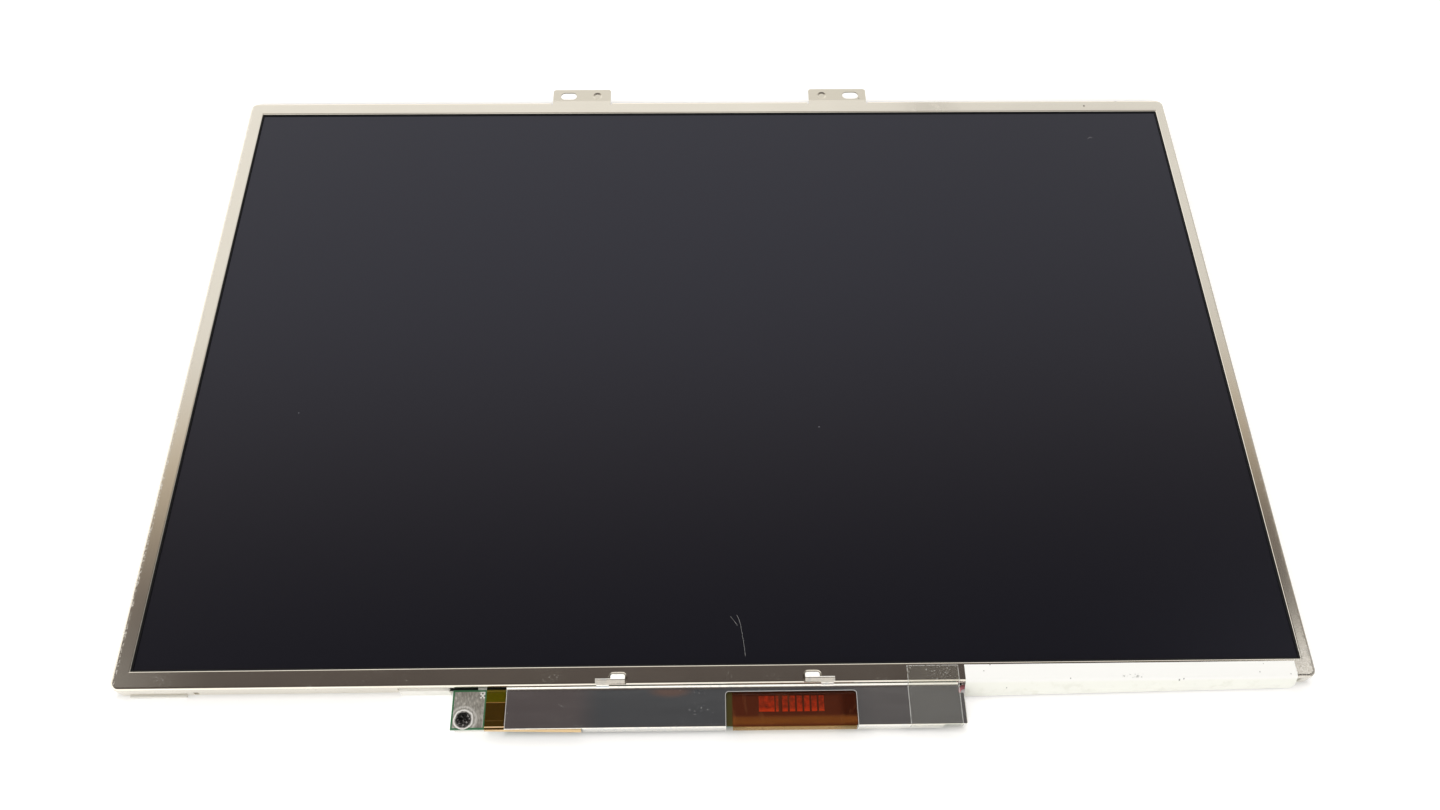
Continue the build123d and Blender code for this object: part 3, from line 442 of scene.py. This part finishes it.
def pad_tin():
    """Scratched tinned pad: a bright ragged ring round the screw and a pale patch of four tiny holes, whose
    darkness is painted shade.
    """
    f = finish("pad_tin")
    low, high = box_mm("board_screw")
    away = f.away_from((low.x + high.x) / 2, (low.y + high.y) / 2)
    swirl = f.noise(1.3, 5, (1, 0.4, 1), 0.5, 0.7)
    brushed = f.noise(2.6, 5, (1, 0.25, 1), 0.1, 0.7)
    outer_ring = f.band(away + 1.2 * (brushed - 0.5), 3.3, 3.8, 0.3)
    ring = f.band(away + 0.9 * (swirl - 0.5), 2.35, 2.85, 0.2).most(0.5 * outer_ring)
    patch = f.band(f.x, -67.4, -65.6, 0.1) * f.band(f.y, -113.9, -112.0, 0.1)
    hole_shade = f.spots(pad_holes, 0.06)
    pale = (0.45 * f.smooth(brushed, 0.52, 0.72)).most(ring).most(0.7 * patch)
    tone = f.blend((0.30, 0.29, 0.26), (0.62, 0.60, 0.55), f.smooth(swirl + brushed, 0.7, 1.3))
    tone = f.blend(tone, (0.92, 0.91, 0.88), pale)
    # Painted shade in the four tiny holes.
    tone = f.blend(tone, (0.04, 0.05, 0.04), hole_shade)
    shader = f.surface(
        Base_Color=tone,
        Metallic=0.8 - 0.6 * pale,
        Roughness=0.36 + 0.1 * swirl,
        Normal=f.bump(swirl + brushed, 0.5, 0.1 * MM),
    )
    return f.done(shader)


def screw_black():
    """Blackened screw head, chipped to grey metal in blotches."""
    f = finish("screw_black")
    chipped = f.smooth(f.noise(1.7, 4, rough=0.6), 0.52, 0.68)
    shader = f.surface(
        Base_Color=f.blend((0.006, 0.006, 0.006), (0.36, 0.34, 0.33), chipped),
        Metallic=0.3,
        Roughness=0.35 + 0.2 * chipped,
        Normal=f.bump(chipped, 0.5, 0.1 * MM),
    )
    return f.done(shader)


def board_green():
    """Solder mask, dark over the copper behind the shield's opening, olive at the opening's left."""
    f = finish("board_green")
    mottle = f.noise(0.8, 4)
    face = f.smooth(f.z, board_high.z - 0.1, board_high.z - 0.05)
    opening = face * f.band(f.x, opening_left - 1, opening_right + 2, 0.3)
    strip = opening * f.smooth(f.x, opening_left + 2.2, opening_left + 1.8)
    tone = f.blend((0.03, 0.13, 0.055), (0.045, 0.17, 0.075), mottle)
    tone = f.blend(tone, (0.03, 0.055, 0.028), opening)
    tone = f.blend(tone, (0.050, 0.040, 0.004), strip)
    return f.done(f.surface(Base_Color=tone, Roughness=0.28 + 0.1 * mottle, Normal=f.bump(mottle, 0.1)))


def land_metal():
    """Copper lands, dull and uneven, paler where solder ran to their lower ends."""
    f = finish("land_metal")
    low_end = box_mm("contact_lands")[0].y
    ends = f.smooth(f.y, low_end + 1.3, low_end + 0.2)
    mottle = f.smooth(f.noise(0.9, 5, rough=0.65), 0.32, 0.68)
    tone = f.blend((0.15, 0.021, 0.014), (0.48, 0.070, 0.034), mottle)
    tone = f.blend(tone, (0.72, 0.14, 0.05), 0.7 * ends)
    return f.done(f.surface(Base_Color=tone, Roughness=0.4, Normal=f.bump(mottle, 0.2)))


def make_finishes():
    return {
        "bezel_steel": bezel_steel(),
        "gasket_black": plain("gasket_black", (0.004, 0.004, 0.005), (0.002, 0.002, 0.002), 0.85),
        "screen_face": screen_face(),
        "cell_glass": plain("cell_glass", (0.30, 0.34, 0.34), (0.25, 0.29, 0.29), 0.15),
        "chip_black": plain("chip_black", (0.03, 0.03, 0.03), (0.018, 0.018, 0.018), 0.5),
        "light_film": plain("light_film", (0.86, 0.86, 0.85), (0.82, 0.82, 0.81), 0.45),
        "guide_acrylic": plain("guide_acrylic", (0.80, 0.84, 0.83), (0.76, 0.80, 0.79), 0.15),
        "reflector_white": plain("reflector_white", (0.88, 0.88, 0.87), (0.84, 0.84, 0.83), 0.5, 0.05),
        "lamp_glass": plain("lamp_glass", (0.88, 0.88, 0.86), (0.84, 0.84, 0.82), 0.12),
        "lamp_channel_metal": plain(
            "lamp_channel_metal", (0.80, 0.74, 0.58), (0.74, 0.68, 0.52), 0.32, 0.1, 1.0
        ),
        "holder_rubber": plain("holder_rubber", (0.72, 0.72, 0.70), (0.66, 0.66, 0.64), 0.65),
        "frame_white": plain("frame_white", (0.90, 0.89, 0.85), (0.86, 0.85, 0.79), 0.5, 0.2),
        "lead_pink": plain("lead_pink", (0.80, 0.30, 0.34), (0.72, 0.24, 0.28), 0.4),
        "lead_white": plain("lead_white", (0.84, 0.84, 0.82), (0.79, 0.79, 0.77), 0.4),
        "plug_white": plain("plug_white", (0.82, 0.80, 0.73), (0.77, 0.75, 0.68), 0.45),
        "board_green": board_green(),
        "pad_tin": pad_tin(),
        "screw_black": screw_black(),
        "land_metal": land_metal(),
        "flex_amber": plain("flex_amber", (0.36, 0.19, 0.06), (0.28, 0.14, 0.04), 0.3),
        "film_amber": amber_film(),
        "shield_steel": shield_steel(),
        "inductor_ferrite": plain("inductor_ferrite", (0.12, 0.12, 0.13), (0.08, 0.08, 0.09), 0.55),
        "capacitor_ceramic": plain("capacitor_ceramic", (0.45, 0.34, 0.24), (0.38, 0.28, 0.19), 0.45),
        "connector_cream": plain("connector_cream", (0.78, 0.74, 0.64), (0.72, 0.68, 0.58), 0.45),
        "pin_gold": plain("pin_gold", (0.83, 0.62, 0.28), (0.76, 0.55, 0.22), 0.25, 0.6, 1.0),
        "tape_clear": clear_tape(),
        "tape_black": plain("tape_black", (0.012, 0.012, 0.012), (0.006, 0.006, 0.006), 0.5),
        "tape_white": white_tape(),
    }


def dress(finishes):
    for part in frame["record"]["subparts"]:
        mesh = frame["nodes"][part["node"]].data
        mesh.materials.clear()
        mesh.materials.append(finishes[part["material_slot"]])


def lay_fibre(name, finish, *places):
    """A thin fibre lying on the screen."""
    radius = 0.02
    level = box_mm("front_polariser")[1].z + radius
    curve = bpy.data.curves.new(name, "CURVE")
    curve.dimensions = "3D"
    curve.bevel_depth = radius * MM
    curve.bevel_resolution = 2
    line = curve.splines.new("POLY")
    line.points.add(len(places) - 1)
    for point, (x, y) in zip(line.points, places):
        point.co = (x * MM, y * MM, level * MM, 1.0)
    curve.materials.append(finish)
    fibre = bpy.data.objects.new(name, curve)
    bpy.context.scene.collection.objects.link(fibre)
    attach(fibre, "root")


def make_world():
    """Soft room: pale walls, dark overhead where the camera stands, a soft box in front, shade at right."""
    world = bpy.data.worlds.new("room")
    bpy.context.scene.world = world
    f = Finish(world, "Generated", 1.0)
    height = f.z.most(0.05)
    across = f.x / height
    along = f.y / height

    def lamp(x, y, inner, outer):
        return f.smooth(((across - x) ** 2 + (along - y) ** 2) ** 0.5, outer, inner)

    behind = f.smooth(along - 0.045 * across, 0.325, 0.705)
    before = f.smooth(along, -0.75, -1.1)
    walls = behind.most(before).most(f.smooth(across.size(), 0.75, 1.1))
    low_glow = f.smooth(f.z, 0.55, 0.0)
    sky = 0.09 + walls * (0.98 + low_glow * (0.95 * f.smooth(f.y, 0.2, -0.2) - 0.35))
    shade = 0.12 * f.smooth(across, 0.05, 0.35)
    shade += 0.6 * f.smooth(across, 0.85, 1.2) * f.smooth(f.y.size() / f.x.most(0.05), 1.3, 0.8)
    soft_box = f.band(along, -2.7, -1.25, 0.1) * f.smooth(across.size(), 1.7, 1.3)
    far_wall = f.smooth(along, 1.15, 1.4)
    left_wall = f.smooth(across, -0.95, -1.15)
    lamps = 1.9 * lamp(0.555, 0.265, 0.03, 0.085) + 0.5 * lamp(-0.535, 0.275, 0.02, 0.06)
    strength = sky * (1 - shade) + front_light * soft_box + 0.5 * far_wall.most(left_wall) + lamps
    tone = f.blend((1.15, 0.98, 0.93), (1.2, 1.0, 0.76), f.smooth(walls, 0.05, 0.3))
    tone = f.blend(tone, (1.0, 0.985, 0.955), f.smooth(walls, 0.45, 0.9).most(f.smooth(lamps, 0.02, 0.3)))
    light = f.node("VectorMath", {"operation": "SCALE"}, {0: tone, "Scale": strength})
    f.done(f.node("Background", {}, {"Color": light.outputs[0]}).outputs[0])


def outside_of(f, low, high):
    """How far a place lies outside a box, seen from above."""
    past_side = (f.x - (low.x + high.x) / 2).size() - (high.x - low.x) / 2
    past_end = (f.y - (low.y + high.y) / 2).size() - (high.y - low.y) / 2
    return past_side.most(past_end)


def make_floor():
    """White floor that stays white in the picture and keeps the object's shadow."""
    half = 3.0
    drop = -0.00005
    mesh = bpy.data.meshes.new("floor")
    corners = [(-half, -half, drop), (half, -half, drop), (half, half, drop), (-half, half, drop)]
    mesh.from_pydata(corners, [], [(0, 1, 2, 3)])
    floor = bpy.data.objects.new("floor", mesh)
    bpy.context.scene.collection.objects.link(floor)
    f = finish("floor_white")
    tone = f.blend((0.86, 0.86, 0.855), (0.9, 0.9, 0.895), f.noise(0.01, 2))
    lit = f.surface(Base_Color=tone, Roughness=0.9)
    glow = f.node("Emission", {}, {"Color": (1, 1, 1), "Strength": 0.3}).outputs[0]
    brighter = f.node("AddShader", {}, {0: lit, 1: glow}).outputs[0]
    past = outside_of(f, *box_mm("front_bezel")).least(outside_of(f, *box_mm("board_shield")))
    rays = f.node("LightPath")
    kinds = ("Is Camera Ray", "Is Glossy Ray", "Is Transmission Ray")
    camera, glossy, passing = (Value(f, rays.outputs[kind]) for kind in kinds)
    share = f.smooth(past, -1.0, 1.5) * camera.most(glossy).most(passing)
    mesh.materials.append(f.done(f.mix(lit, brighter, share)))


def make_lamp():
    """A wide soft lamp overhead that lights paper, tape and plastic, and stays out of the bright metal."""
    data = bpy.data.lights.new("soft_lamp", "AREA")
    data.size = 1.6
    data.energy = 8.5
    lamp = bpy.data.objects.new("soft_lamp", data)
    bpy.context.scene.collection.objects.link(lamp)
    lamp.location = (0, 0, 1.2)
    lamp.visible_camera = False
    lamp.visible_glossy = False


def make_camera():
    """The photograph's viewpoint."""
    data = bpy.data.cameras.new("camera")
    data.sensor_width = 36.0
    data.sensor_fit = "HORIZONTAL"
    data.lens = 28.79
    data.clip_start = 0.01
    camera = bpy.data.objects.new("camera", data)
    bpy.context.scene.collection.objects.link(camera)
    yaw = Matrix.Rotation(math.radians(-1.79), 4, "Z")
    pitch = Matrix.Rotation(math.radians(29.18), 4, "X")
    roll = Matrix.Rotation(math.radians(1.11), 4, "Z")
    camera.matrix_world = Matrix.Translation(Vector((-3.7, -201.3, 330.7)) * MM) @ yaw @ pitch @ roll
    bpy.context.scene.camera = camera


finishes = make_finishes()
dress(finishes)
thread = finishes["holder_rubber"]
long_fibre = ((5.9, -90.5), (6.5, -92.0), (7.0, -94.0), (7.5, -97.5), (7.9, -100.5), (8.1, -102.8))
lay_fibre("fibre_long", thread, *long_fibre)
lay_fibre("fibre_branch", thread, (4.0, -90.9), (5.1, -92.4), (6.0, -93.7))
lay_fibre("fibre_curl", thread, (140.6, 92.2), (141.0, 92.8), (141.6, 93.1), (142.2, 92.7))
make_world()
make_floor()
make_lamp()
make_camera()
bpy.context.scene.view_settings.view_transform = "Standard"
